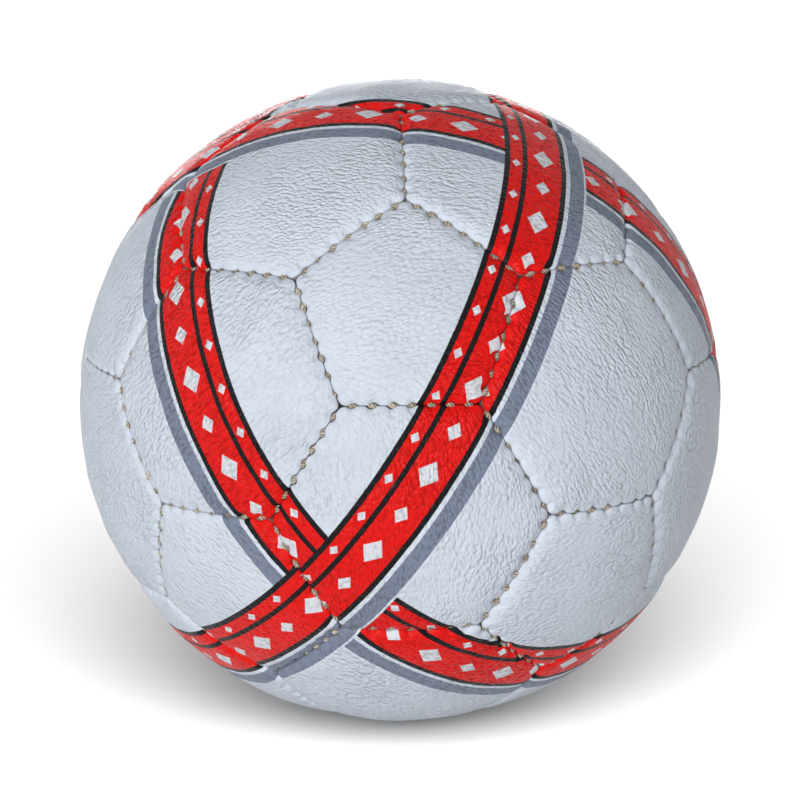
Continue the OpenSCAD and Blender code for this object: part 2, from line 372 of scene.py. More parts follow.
class Side:
    """One side of a panel in the panel's own frame, where +Z is its axis.

    It is flipped where it runs against the direction of its seam."""

    def __init__(self, sides, edge, turn, turn_to):
        c, s = math.cos(turn), math.sin(turn)
        spin = np.array([[c, -s, 0], [s, c, 0], [0, 0, 1]])
        self.middle = spin @ np.array([math.sin(edge), 0, math.cos(edge)])
        self.along = spin @ np.array([0, 1.0, 0])
        self.inward = spin @ np.array([-math.cos(edge), 0, math.sin(edge)])
        self.edge = edge
        self.slope = math.tan(math.pi / sides)
        self.seam = nearest_seam(turn_to @ self.middle)
        self.flipped = bool(self.seam.along @ (turn_to @ self.along) < 0)

    def corner(self, inset):
        """Angle along the seam from its middle to the corner of the outline that lies in by inset."""
        delta = math.asin(inset / CREST)
        b = self.slope * math.sin(self.edge)
        c = self.slope * math.tan(delta) * math.cos(self.edge)
        return math.atan(b) - math.asin(c / math.sqrt(1 + b * b))

    def point(self, inset, beta):
        """Directions that lie in by inset from the seam, at the angle beta along it."""
        delta = np.arcsin(np.broadcast_to(inset, np.shape(beta)) / CREST)[..., None]
        beta = np.asarray(beta)[..., None]
        return (np.cos(delta) * (np.cos(beta) * self.middle + np.sin(beta) * self.along)
                + np.sin(delta) * self.inward)

    def outline(self, inset, steps):
        """Directions, places along the seam, and ways into the panel, from one corner towards the next."""
        f = -1 + 2 * np.arange(steps) / steps
        # From the corners' radius inwards the corners are sharp, and outside it they are arcs
        if inset >= CORNER_RADIUS:
            beta = f * self.corner(inset)
            p = self.point(inset, beta)
            return p, beta * CREST, np.broadcast_to(self.inward, p.shape)
        straight = 1 - 2 * CORNER_STEPS / SIDE_STEPS
        beta_t = self.corner(CORNER_RADIUS)
        beta = np.clip(f / straight, -1, 1) * beta_t
        p = self.point(inset, beta)
        inward = np.array(np.broadcast_to(self.inward, p.shape))
        sign = np.sign(f)[:, None]
        centre = self.point(CORNER_RADIUS, np.sign(f) * beta_t)
        out = unit(-self.inward + centre * (centre @ self.inward)[:, None])
        axis_out = unit(-np.array([0, 0, 1.0]) + centre * centre[:, 2:3])
        turn = np.arccos(np.clip((out * axis_out).sum(-1), -1, 1))
        sideways = unit(axis_out - out * (out * axis_out).sum(-1, keepdims=True))
        theta = (np.clip((np.abs(f) - straight) / (1 - straight), 0, 1) * turn)[:, None]
        way = out * np.cos(theta) + sideways * np.sin(theta)
        rho = (CORNER_RADIUS - inset) / CREST
        round_p = centre * math.cos(rho) + way * math.sin(rho)
        rounded = np.abs(f) > straight
        p[rounded] = round_p[rounded]
        inward[rounded] = -way[rounded]
        s = beta * CREST + (sign[:, 0] * theta[:, 0] * CORNER_RADIUS)
        return p, s, inward

    def pull(self, s):
        """How far the stitches pull the edge back, and how deep they dimple it, along the seam."""
        if self.flipped:
            s = -s
        gap = self.seam.gap(s)
        dimple = np.zeros(s.shape)
        lean = -1 if self.flipped else 1
        for place, width in zip(self.seam.stitches, self.seam.widths):
            off = (s - place - lean * SLIT_SHIFT) / (SLIT_LENGTH * width ** 0.5)
            gap += SLIT_WIDTH * width * np.clip(1 - off * off, 0, 1) ** SLIT_POINT
            dimple += DIMPLE * np.exp(-(off * DIMPLE_SHORTER) ** 2)
        return gap, dimple


class Shell:
    """Rings of points joined into a closed skin.

    A ring has as many steps as the one before it, or half or twice as many."""

    def __init__(self):
        self.points, self.faces, self.marks = [], [], []
        self.count = 0
        self.last = None

    def ring(self, points, marks):
        """Adds a ring, with a mark for each of its points, and joins it to the last one."""
        start, n = self.count, len(points)
        self.points.append(points)
        self.marks.append(marks)
        self.count += n
        new = (start, n)
        if self.last:
            self.join(self.last, new)
        else:
            self.first = new
        self.last = new

    def join(self, a, b):
        """Adds the faces between two rings."""
        (a0, an), (b0, bn) = a, b
        if an == bn:
            for i in range(an):
                j = (i + 1) % an
                self.faces.append((a0 + i, b0 + i, b0 + j, a0 + j))
        elif an == 2 * bn:
            for i in range(bn):
                j = (i + 1) % bn
                low, mid, high = a0 + 2 * i, a0 + 2 * i + 1, a0 + (2 * i + 2) % an
                self.faces += [(low, b0 + i, mid), (mid, b0 + i, b0 + j), (mid, b0 + j, high)]
        else:
            for i in range(an):
                j = (i + 1) % an
                low, mid, high = b0 + 2 * i, b0 + 2 * i + 1, b0 + (2 * i + 2) % bn
                self.faces += [(low, mid, a0 + i), (mid, a0 + j, a0 + i), (mid, high, a0 + j)]

    def cap(self, point, mark, at_start):
        """Closes the first or the last ring with a fan."""
        self.points.append(point[None])
        self.marks.append(mark[None])
        tip = self.count
        self.count += 1
        start, n = self.first if at_start else self.last
        for i in range(n):
            j = (i + 1) % n
            self.faces.append((tip, start + i, start + j) if at_start else (start + i, tip, start + j))


def make_object(name, points, faces, material):
    """A smooth piece that rides on the ball."""
    mesh = bpy.data.meshes.new(name)
    mesh.from_pydata(points.tolist(), [], faces)
    mesh.polygons.foreach_set("use_smooth", [True] * len(mesh.polygons))
    mesh.materials.append(material)
    piece = bpy.data.objects.new(name, mesh)
    bpy.context.scene.collection.objects.link(piece)
    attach(piece, "root")
    return piece


def attribute(piece, name, kind, values):
    """Keeps a value for each point of a piece, for its material to read."""
    data = piece.data.attributes.new(name, kind, "POINT").data
    field = "vector" if kind == "FLOAT_VECTOR" else "value"
    data.foreach_set(field, np.ascontiguousarray(values, np.float32).ravel())


def dome_radius(direction, edge):
    """Radius of a panel's dome along a direction in the panel's frame."""
    shift = (CROWN ** 2 - CREST ** 2) / (2 * (CROWN - CREST * math.cos(edge)))
    cos = direction[..., 2]
    return shift * cos + np.sqrt((CROWN - shift) ** 2 - shift ** 2 * (1 - cos ** 2))


def ring_plan(edge, hole):
    """(inset, drop, steps, inside) of each ring of a panel.

    Its face comes first, from the middle outwards, then the rolled edge and the flange, and its back last."""
    reach = edge * CREST
    limit = reach - (hole * HOLE_SHARE if hole else MIDDLE)
    full, half, quarter, eighth = (SIDE_STEPS // n for n in (1, 2, 4, 8))
    plan = []
    inset, steps = ROLL_WIDTH, full
    gap, growth, widest = FACE_GAPS
    while inset + gap < limit:
        inset += gap
        if inset > COARSER[0]:
            steps = half
        if inset > COARSER[1]:
            steps = quarter
        if inset > reach - COARSER[2]:
            steps = eighth
        plan.insert(0, (inset, 0.0, steps, False))
        gap = min(gap * growth, widest)
    for psi in np.linspace(0, math.pi / 2, ROLL_RINGS):
        plan.append((ROLL_WIDTH * (1 - math.sin(psi)), ROLL_DEPTH * (1 - math.cos(psi)), full, False))
    for share in FLANGE_SHARES:
        plan.append((0.0, ROLL_DEPTH + (FLANGE - ROLL_DEPTH) * share, full, False))
    plan.append((FLANGE_ROUND, FLANGE, full, False))
    plan.append((COVER - FLANGE_ROUND, FLANGE, half, True))
    plan.append((COVER, FLANGE - FLANGE_BACK_ROUND, half, True))
    for share in FLANGE_BACK_SHARES:
        plan.append((COVER, ROLL_DEPTH + (FLANGE - ROLL_DEPTH) * share, half, True))
    for psi in np.linspace(math.pi / 2, 0, INNER_ROLL_RINGS):
        inset = COVER + INNER_ROLL_WIDTH * (1 - math.sin(psi))
        plan.append((inset, COVER + INNER_ROLL_DEPTH * (1 - math.cos(psi)), half, True))
    inset, steps = COVER + INNER_ROLL_WIDTH, quarter
    gap, growth, widest = BACK_GAPS
    while inset + gap < limit:
        inset += gap
        if inset > reach - COARSER[2]:
            steps = eighth
        plan.append((inset, COVER, steps, True))
        gap = min(gap * growth, widest)
    return plan


def make_panel(name, n, sides, material):
    """The cover of one panel, from its node's name and its axis."""
    edge = PENTAGON_EDGE if sides == 5 else HEXAGON_EDGE
    turn_to = lay(n, first_side(n, sides))
    hole = VALVE_HOLE if name == "valve_hexagon_panel" else 0
    panel_sides = [Side(sides, edge, 2 * math.pi / sides * i, turn_to) for i in range(sides)]
    shell = Shell()
    for inset, drop, steps, inside in ring_plan(edge, hole):
        points, marks = [], []
        for side in panel_sides:
            p, s, inward = side.outline(inset, steps)
            gap, dimple = side.pull(s)
            deep = smooth(drop, ROLL_DEPTH, FLANGE)
            near = 1 - smooth(inset, *PULL_FADE)
            push = gap * near * (1 - FLANGE_FADE * deep) + SEAM_GAP
            pushed = unit(p + inward * (push / CREST)[:, None])
            radius = dome_radius(p, edge) - drop
            radius = radius + swell(p @ turn_to.T) * smooth(inset, *SWELL_FADE)
            radius = radius - dimple * np.exp(-(inset / DIMPLE_WIDTH) ** 2) * (1 - deep)
            if not inside:
                radius = radius - side.seam.sunk(s) * math.exp(-(inset / SINK_WIDTH) ** 2) * (1 - deep)
            points.append(pushed * radius[:, None])
            # A mark is a direction and a distance from the seam, below 0 down in it and behind the cover
            depth = inset - (drop if inset < ROLL_WIDTH / 2 else 0)
            marks.append(np.column_stack([p, np.full(len(p), -1 if inside else depth)]))
        shell.ring(np.concatenate(points), np.concatenate(marks))
    axis_point = np.array([0, 0, 1.0])
    if hole:
        add_hole(shell, hole, panel_sides, edge)
    else:
        top = float(dome_radius(axis_point, edge) + swell(turn_to @ axis_point))
        mark = np.append(axis_point, edge * CREST)
        shell.cap(axis_point * top, mark, True)
        shell.cap(axis_point * (top - COVER), np.append(axis_point, -1), False)
    local = np.concatenate(shell.points)
    marks = np.concatenate(shell.marks)
    piece = make_object("cover_" + name, local @ turn_to.T, shell.faces, material)
    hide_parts(name)
    dress_panel(piece, marks, turn_to)


def add_hole(shell, hole, panel_sides, edge):
    """Closes the middle of a panel with the rolled rim and the wall of a round hole."""
    turns = np.concatenate([np.full(SIDE_STEPS // 8, i) for i in range(len(panel_sides))])
    steps = np.tile(-1 + 2 * np.arange(SIDE_STEPS // 8) / (SIDE_STEPS // 8), len(panel_sides))
    angles = 2 * math.pi / len(panel_sides) * (turns + steps / 2)
    profile = [(hole + VALVE_RIM * (1 - math.sin(a)), VALVE_RIM * (1 - math.cos(a)))
               for a in np.linspace(0, math.pi / 2, VALVE_RIM_RINGS)]
    back = shell.last
    shell.last = shell.first
    first_face = len(shell.faces)
    for radius, drop in profile + [(hole, COVER)]:
        flat, up = math.sin(radius / CROWN), math.cos(radius / CROWN)
        p = np.column_stack([flat * np.cos(angles), flat * np.sin(angles), np.full(len(angles), up)])
        height = dome_radius(p, edge) - drop
        shell.ring(p * height[:, None], np.column_stack([p, np.full(len(p), edge * CREST)]))
    shell.join(shell.last, back)
    # These rings run inwards from the first one, so their faces are turned about
    shell.faces[first_face:] = [face[::-1] for face in shell.faces[first_face:]]


def dress_panel(piece, marks, turn_to):
    """Gives a panel what its material reads for each point."""
    direction = marks[:, :3]
    slip = np.array(Matrix.Rotation(rng.normal(0, PRINT_SLIP), 3, Vector(unit(rng.normal(size=3)))))
    attribute(piece, "print_co", "FLOAT_VECTOR", direction @ turn_to.T @ slip.T)
    attribute(piece, "seam_d", "FLOAT", marks[:, 3] / MM)
    angle = rng.uniform(0, math.pi)
    flat = direction[:, :2] / np.maximum(direction[:, 2:], 0.2) * CROWN / MM
    c, s = math.cos(angle), math.sin(angle)
    x, y = flat[:, 0] * c - flat[:, 1] * s, flat[:, 0] * s + flat[:, 1] * c
    grain = np.column_stack([x, y, np.zeros(len(flat))]) + rng.uniform(-GRAIN_SHIFT, GRAIN_SHIFT, 3)
    attribute(piece, "grain_co", "FLOAT_VECTOR", grain)
    attribute(piece, "tone", "FLOAT", np.full(len(flat), rng.normal(0, 1)))
    attribute(piece, "grain_strength", "FLOAT", np.full(len(flat), rng.uniform(*GRAIN_STRENGTH)))


def tube(points, radius, sides):
    """Points and faces of a round tube with closed ends, and each point's place in the straightened tube."""
    tangent = unit(np.gradient(points, axis=0))
    normal = np.cross(tangent[0], [0.0, 0.0, 1.0] if abs(tangent[0][2]) < 0.9 else [1.0, 0.0, 0.0])
    rings, co, faces = [], [], []
    length = np.concatenate([[0], np.cumsum(np.linalg.norm(np.diff(points, axis=0), axis=1))])
    around = np.arange(sides) * 2 * math.pi / sides
    x, y = np.cos(around), np.sin(around)
    for k, p in enumerate(points):
        normal = unit(normal - tangent[k] * (normal @ tangent[k]))
        other = np.cross(tangent[k], normal)
        rings.append(p + radius * (x[:, None] * normal + y[:, None] * other))
        co.append(np.column_stack([x * radius, y * radius, np.full(sides, length[k])]))
        if k:
            for i in range(sides):
                j = (i + 1) % sides
                a = (k - 1) * sides
                faces.append((a + i, a + j, a + sides + j, a + sides + i))
    last = (len(points) - 1) * sides
    faces.append(tuple(range(sides))[::-1])
    faces.append(tuple(last + i for i in range(sides)))
    return np.concatenate(rings), faces, np.concatenate(co) / MM


class Bundle:
    """Tubes gathered into one piece."""

    def __init__(self):
        self.points, self.faces, self.co, self.tones, self.hollows = [], [], [], [], []
        self.count = 0

    def add(self, points, radius, sides, tone, core=None):
        """One tube. Where core, the middle of a twist, is given, points near it are marked for painted shade.
        """
        p, faces, co = tube(points, radius, sides)
        if core is None:
            self.hollows.append(np.zeros(len(p)))
        else:
            off = np.linalg.norm(p - np.repeat(core, sides, axis=0), axis=1)
            inner, outer = (STRAND_ORBIT + share * STRAND for share in STRAND_SHADE_SHARES)
            # Painted shade between the strands: 1 near the middle of the twist, 0 further out
            self.hollows.append(1 - smooth(off, inner, outer))
        self.points.append(p)
        self.faces += [tuple(i + self.count for i in face) for face in faces]
        # Each tube has its fibres in a place of its own in the noise
        self.co.append(co + [self.count % 97, self.count % 89, 0])
        self.tones.append(np.full(len(p), tone))
        self.count += len(p)

    def build(self, name, material, nodes):
        """Makes the piece, in the place of these nodes of the frame."""
        piece = make_object(name, np.concatenate(self.points), self.faces, material)
        attribute(piece, "fibre_co", "FLOAT_VECTOR", np.concatenate(self.co))
        attribute(piece, "tone", "FLOAT", np.concatenate(self.tones))
        attribute(piece, "painted_strand_shade", "FLOAT", np.concatenate(self.hollows))
        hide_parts(*nodes)


def spline(controls, steps):
    """A smooth curve through control points, evenly stepped."""
    controls = np.array(controls)
    ends = np.vstack([2 * controls[0] - controls[1], controls, 2 * controls[-1] - controls[-2]])
    fine = []
    for k in range(1, len(ends) - 2):
        a, b, c, d = ends[k - 1:k + 3]
        t = np.linspace(0, 1, SPLINE_STEPS, endpoint=False)[:, None]
        fine.append(0.5 * (2 * b + (c - a) * t + (2 * a - 5 * b + 4 * c - d) * t ** 2
                           + (3 * b - a - 3 * c + d) * t ** 3))
    fine = np.concatenate(fine + [controls[-1:]])
    length = np.concatenate([[0], np.cumsum(np.linalg.norm(np.diff(fine, axis=0), axis=1))])
    even = np.linspace(0, length[-1], steps)
    return np.column_stack([np.interp(even, length, fine[:, i]) for i in range(3)]), length[-1]


def bend_to_seam(seam, local):
    """Turns (along, across, height over the crest) of a seam into places on the ball."""
    along, across, height = local[:, 0] / CREST, local[:, 1] / CREST, local[:, 2]
    p = (np.cos(along) * np.cos(across))[:, None] * seam.middle
    p = p + (np.sin(along) * np.cos(across))[:, None] * seam.along
    p = p + np.sin(across)[:, None] * seam.side
    return unit(p) * (CREST + height)[:, None]


def add_stitch(bundle, seam, place, slant, width):
    """One stitch: strands twisted together, out of one panel's edge, over the seam and into the other's."""
    reach = STITCH_REACH * width ** 0.5
    top = -STITCH_TOP - seam.sunk(place) - seam.drawn(place)
    top += np.clip(rng.normal(0, STITCH_TOP_SPREAD), *STITCH_TOP_LIMITS)
    controls = [(place, 0, top)]
    for share, spread, fall in STITCH_ARCH:
        controls.append((place + reach * share, reach * slant * spread, top - fall))
        controls.insert(0, (place - reach * share, -reach * slant * spread, top - fall))
    controls.append((place + THREAD_SHIFT, THREAD_BEHIND / 2, -THREAD_DEPTH))
    controls.insert(0, (place - THREAD_SHIFT, -THREAD_BEHIND / 2, -THREAD_DEPTH))
    centre, length = spline(controls, STITCH_STEPS)
    tangent = unit(np.gradient(centre, axis=0))
    # A little off upright, so that no tangent is along it
    up = np.array([0, 0, 1.0]) + 1e-6
    side = unit(np.cross(tangent, up))
    other = np.cross(side, tangent)
    turn = np.linspace(0, length / STRAND_PITCH * 2 * math.pi, len(centre)) + rng.uniform(0, 7)
    tone = rng.normal(0, 1)
    size = 0.7 + 0.3 * width
    core = bend_to_seam(seam, centre)
    for k in range(STRANDS):
        phase = (turn + 2 * math.pi * k / STRANDS)[:, None]
        strand = centre + STRAND_ORBIT * size * (np.cos(phase) * side + np.sin(phase) * other)
        strand_tone = tone + rng.normal(0, 0.5)
        bundle.add(bend_to_seam(seam, strand), STRAND * size, STRAND_SIDES, strand_tone, core)


def add_runs(bundle, seam):
    """The thread inside the ball, along the backs of the two turned edges."""
    reach = seam.stitches[-1] + RUN_END
    for sign in (-1, 1):
        along = np.linspace(-reach, reach, RUN_STEPS)
        wave = RUN_WAVE * np.cos(along / RUN_WAVE_LENGTH * math.pi)
        local = np.column_stack([along, sign * THREAD_BEHIND + wave, np.full(RUN_STEPS, -THREAD_DEPTH)])
        bundle.add(bend_to_seam(seam, local), RUN_RADIUS, STRAND_SIDES, rng.normal(0, 1))


def make_threads(material):
    """The thread of all seams, in three pieces of 30 seams each."""
    plans = (("thread_upper_pentagons", "pentagon", True, "pentagon_seam_threads"),
             ("thread_lower_pentagons", "pentagon", False, "pentagon_seam_threads"),
             ("thread_hexagons", "hexagon", None, "hexagon_seam_threads"))
    for name, kind, upper, node in plans:
        bundle = Bundle()
        for seam in SEAMS:
            if seam.kind != kind or (upper is not None and (seam.middle[2] > 0) != upper):
                continue
            add_runs(bundle, seam)
            for place, slant, width in zip(seam.stitches, seam.slants, seam.widths):
                add_stitch(bundle, seam, place, slant, width)
        bundle.build(name, material, [node])


class Nodes:
    """Short ways to add shader nodes to a tree."""

    def __init__(self, tree):
        self.tree = tree

    def add(self, kind, inputs=(), **settings):
        """A node with these inputs and settings."""
        node = self.tree.nodes.new(kind)
        for key, value in settings.items():
            setattr(node, key, value)
        for key, value in dict(inputs).items():
            self.put(node.inputs[key], value)
        return node

    def put(self, socket, value):
        """Links a socket to value, or sets it to value."""
        if isinstance(value, bpy.types.NodeSocket):
            self.tree.links.new(value, socket)
        else:
            socket.default_value = value

    def math(self, operation, a, b=0.0, c=0.0, clamp=False):
        """The result of a sum."""
        node = self.add("ShaderNodeMath", operation=operation, use_clamp=clamp)
        for socket, value in zip(node.inputs, (a, b, c)):
            self.put(socket, value)
        return node.outputs[0]

    def vector(self, operation, a, b=(0, 0, 0)):
        """The result of a sum of vectors."""
        node = self.add("ShaderNodeVectorMath", operation=operation)
        self.put(node.inputs[0], a)
        self.put(node.inputs[1], b)
        return node.outputs["Value" if operation in ("DOT_PRODUCT", "LENGTH") else "Vector"]

    def mix(self, share, a, b):
        """A colour that is a at a share of 0 and b at a share of 1."""
        node = self.add("ShaderNodeMix", data_type="RGBA")
        self.put(node.inputs[0], share)
        self.put(node.inputs[6], a)
        self.put(node.inputs[7], b)
        return node.outputs[2]

    def attribute(self, name, output):
        """What the piece keeps for each point under this name."""
        return self.add("ShaderNodeAttribute", attribute_name=name).outputs[output]

    def noise(self, place, scale, detail, roughness=0.5):
        """What a noise gives, as Fac and as Color."""
        inputs = {"Vector": place, "Scale": scale, "Detail": detail, "Roughness": roughness}
        return self.add("ShaderNodeTexNoise", inputs).outputs

    def bump(self, shader, height, strength, distance):
        """Gives a shader this relief."""
        node = self.add("ShaderNodeBump", {"Height": height, "Strength": strength, "Distance": distance})
        self.put(shader.inputs["Normal"], node.outputs["Normal"])

    def inside(self, distance, size, soft):
        """1 where distance is under size, with an edge that is soft wide."""
        over = self.math("SUBTRACT", size, distance)
        return self.math("MULTIPLY_ADD", over, 1 / soft, 0.5, clamp=True)

    def remap(self, value, low, high, to_low, to_high):
        """A smooth step of value from to_low, at low, to to_high, at high."""
        node = self.add("ShaderNodeMapRange", interpolation_type="SMOOTHSTEP")
        for socket, number in zip(node.inputs, (value, low, high, to_low, to_high)):
            self.put(socket, number)
        return node.outputs[0]


def srgb(r, g, b):
    """The linear colour of an 8-bit screen colour."""
    return tuple((c / 255 / 12.92 if c / 255 <= 0.04045 else ((c / 255 + 0.055) / 1.055) ** 2.4)
                 for c in (r, g, b)) + (1.0,)


WHITE = srgb(221, 229, 241)
RED = srgb(232, 22, 18)
BLACK = srgb(5, 5, 9)
GREY = srgb(128, 138, 158)
MOTIF = srgb(226, 229, 236)
WHITE_DULL = srgb(214, 222, 234)
WHITE_SOILED = srgb(208, 216, 229)
LEATHER_BACK = srgb(190, 186, 176)
THREAD = srgb(219, 210, 189)
THREAD_PALE = srgb(232, 224, 208)
THREAD_DARK = srgb(152, 138, 114)
THREAD_DIRT = srgb(122, 104, 76)
# The thread's painted shade between its strands, near the middle of a twist
THREAD_PAINTED_SHADE = srgb(56, 47, 36)
WARP_PALE = srgb(222, 210, 184)
WARP_DARK = srgb(168, 152, 122)

# The leather's grain: a cell's length and width in mm, and how deep the grain is
CELL_LENGTH = 1.65
CELL_WIDTH = 0.98
GRAIN_DEPTH = 0.52 * MM

# How many radians the waves of the lining's weave turn in a metre
WEAVE = 5200.0

# The printed bands: three equal circles, each turned by a third about the ball's Z axis, with lengths in mm.
# A band's middle lies on a circle of latitude about the band's own axis
BANDS = 3
BAND_TILT = math.radians(58)
BAND_TURN = math.radians(-44)
BAND_LATITUDE = math.radians(12)
BAND_PERIOD = 13.0
INK_SOFT = 0.14
DIAMOND_STRETCH = 1.3

# Strips along a band, from the first printed to the last: place of the middle, half the width, colour, and
# whether it is ink or bare leather
BAND_STRIPS = ((-12.4, 3.6, WHITE, 0), (-13.0, 2.3, GREY, 1), (0, 9.4, BLACK, 1), (0, 7.8, RED, 1),
               (3.4, 0.75, BLACK, 1))

# Rows of diamonds: the first one's place and the distance to the next, both in half periods, then the row's
# place across the band and half a diamond's width
BAND_DIAMONDS = ((0, 2, -2.3, 3.1), (1, 2, -2.3, 2.1), (0.5, 1, 6.0, 1.3))


def band_group():
    """A node group that prints one band over a colour."""
    group = bpy.data.node_groups.new("band", "ShaderNodeTree")
    kinds = {"Colour": "Color", "Ink": "Float", "Point": "Vector", "Axis": "Vector", "Across": "Vector",
             "Along": "Vector", "Wobble": "Float"}
    for name, kind in kinds.items():
        group.interface.new_socket(name, in_out="INPUT", socket_type="NodeSocket" + kind)
    group.interface.new_socket("Colour", in_out="OUTPUT", socket_type="NodeSocketColor")
    group.interface.new_socket("Ink", in_out="OUTPUT", socket_type="NodeSocketFloat")
    g = Nodes(group)
    given = g.add("NodeGroupInput").outputs
    radius = CROWN / MM
    up = g.math("ARCSINE", g.vector("DOT_PRODUCT", given["Point"], given["Axis"]))
    off = g.math("MULTIPLY_ADD", up, radius, -radius * BAND_LATITUDE)
    off = g.math("ADD", off, given["Wobble"])
    girth = 2 * math.pi * radius * math.cos(BAND_LATITUDE)
    count = 2 * round(girth / BAND_PERIOD / 2)
    turn = g.math("ARCTAN2", g.vector("DOT_PRODUCT", given["Point"], given["Across"]),
                  g.vector("DOT_PRODUCT", given["Point"], given["Along"]))
    step = g.math("MULTIPLY", turn, count / (2 * math.pi))
    colour, ink = given["Colour"], given["Ink"]

    def across(middle):
        return g.math("ABSOLUTE", g.math("SUBTRACT", off, middle))

    def diamonds(phase, every, middle, size):
        wrapped = g.math("WRAP", g.math("ADD", step, phase), every / 2, -every / 2)
        along = g.math("MULTIPLY", g.math("ABSOLUTE", wrapped), girth / count / DIAMOND_STRETCH)
        return g.inside(g.math("ADD", along, across(middle)), size, INK_SOFT * 1.4)

    layers = [(g.inside(across(middle), half, INK_SOFT), paint, inked)
              for middle, half, paint, inked in BAND_STRIPS]
    layers += [(diamonds(*row), MOTIF, 1) for row in BAND_DIAMONDS]
    for mask, paint, inked in layers:
        colour = g.mix(mask, colour, paint)
        ink = g.math("MULTIPLY_ADD", g.math("SUBTRACT", float(inked), ink), mask, ink)
    out = g.add("NodeGroupOutput")
    g.put(out.inputs["Colour"], colour)
    g.put(out.inputs["Ink"], ink)
    return group


def new_material(name):
    """A material, its nodes and its shader."""
    material = bpy.data.materials.new(name)
    material.use_nodes = True
    tree = material.node_tree
    return material, Nodes(tree), tree.nodes["Principled BSDF"]


def leather_material():
    """Pebbled white synthetic leather with the printed bands.

    Its grain is cells, stretched and bent by two noises, with fibres over them."""
    material, n, shader = new_material("panel_leather")
    grain_co = n.attribute("grain_co", "Vector")
    seam = n.attribute("seam_d", "Fac")
    tone = n.attribute("tone", "Fac")
    strength = n.attribute("grain_strength", "Fac")

    flow = n.noise(grain_co, 0.06, 1.0)
    bend = n.noise(grain_co, 0.3, 2.0)
    bent = n.vector("ADD", grain_co, n.vector("MULTIPLY", flow["Color"], (3.0, 3.0, 0)))
    bent = n.vector("ADD", bent, n.vector("MULTIPLY", bend["Color"], (1.5, 1.5, 0)))
    cell_co = n.vector("MULTIPLY", bent, (1 / CELL_LENGTH, 1 / CELL_WIDTH, 1.0))
    cells = {"Vector": cell_co, "Scale": 1.0, "Randomness": 0.9}
    sharp = n.add("ShaderNodeTexVoronoi", cells, feature="F1")
    soft = n.add("ShaderNodeTexVoronoi", {**cells, "Smoothness": 0.45}, feature="SMOOTH_F1")
    spread = n.math("POWER", sharp.outputs["Distance"], 2.0)
    dome = n.math("SQRT", n.math("MAXIMUM", n.math("MULTIPLY_ADD", spread, -1.6, 1.0), 0.02))
    crease = n.remap(dome, 0.35, 0.78, 1.0, 0.0)
    fibre_co = n.vector("MULTIPLY", bent, (0.6, 1.3, 1.0))
    fibre = n.noise(fibre_co, 1.0, 3.0, 0.55)
    relief = n.math("MULTIPLY_ADD", dome, 0.35, n.math("SUBTRACT", 1.0, soft.outputs["Distance"]))
    relief = n.math("MULTIPLY_ADD", fibre["Fac"], 0.2, relief)
    wide = n.noise(grain_co, 0.045, 2.0)
    relief = n.math("MULTIPLY", relief, n.remap(wide["Fac"], 0.35, 0.65, 0.6, 1.15))
    relief = n.math("MULTIPLY", relief, strength)
    # The grain is drawn flat towards a seam
    calm = n.remap(seam, 0.0, 3.5, 0.3, 1.0)
    relief = n.math("MULTIPLY", relief, calm)

    wobble = n.math("MULTIPLY_ADD", fibre["Fac"], 0.24, -0.12)
    blotch = n.noise(grain_co, 0.06, 3.0)
    base = n.mix(n.remap(blotch["Fac"], 0.3, 0.7, 0.0, 1.0), WHITE, WHITE_DULL)
    base = n.mix(n.math("MULTIPLY_ADD", tone, 0.10, 0.15, clamp=True), base, WHITE_SOILED)
    point = n.vector("NORMALIZE", n.attribute("print_co", "Vector"))
    group = band_group()
    colour, ink = base, 0.0
    for i in range(BANDS):
        direction = axis(BAND_TILT, BAND_TURN + 2 * math.pi / BANDS * i)
        across = unit(np.cross([0, 0, 1.0], direction))
        along = np.cross(direction, across)
        inputs = {"Colour": colour, "Ink": ink, "Point": point, "Axis": tuple(direction),
                  "Across": tuple(across), "Along": tuple(along), "Wobble": wobble}
        band = n.add("ShaderNodeGroup", node_tree=group)
        for key, value in inputs.items():
            n.put(band.inputs[key], value)
        colour, ink = band.outputs["Colour"], band.outputs["Ink"]

    # Painted shade in the grain's creases and down the seam walls, and the bare leather of the back
    dark = n.vector("MULTIPLY", colour, (0.42, 0.42, 0.42))
    # Painted shade in the grain's creases, stronger on the ink
    crease_shade = n.math("MULTIPLY", n.math("MULTIPLY", crease, calm), n.math("MULTIPLY_ADD", ink, 0.3, 0.1))
    colour = n.mix(crease_shade, colour, dark)
    # Painted shade down the seam walls, where the edge turns in
    colour = n.mix(n.remap(seam, -1.4, -0.2, 0.85, 0.0), colour, dark)
    back = n.inside(seam, -0.9, 0.1)
    n.put(shader.inputs["Base Color"], n.mix(n.math("MULTIPLY", back, 0.5), colour, LEATHER_BACK))

    rough = n.remap(fibre["Fac"], 0.3, 0.7, 0.40, 0.52)
    rough = n.math("MULTIPLY_ADD", ink, -0.05, rough)
    rough = n.math("MULTIPLY_ADD", crease, 0.12, rough)
    n.put(shader.inputs["Roughness"], rough)
    shader.inputs["Specular IOR Level"].default_value = 0.15
    n.bump(shader, relief, 1.0, GRAIN_DEPTH)
    return material


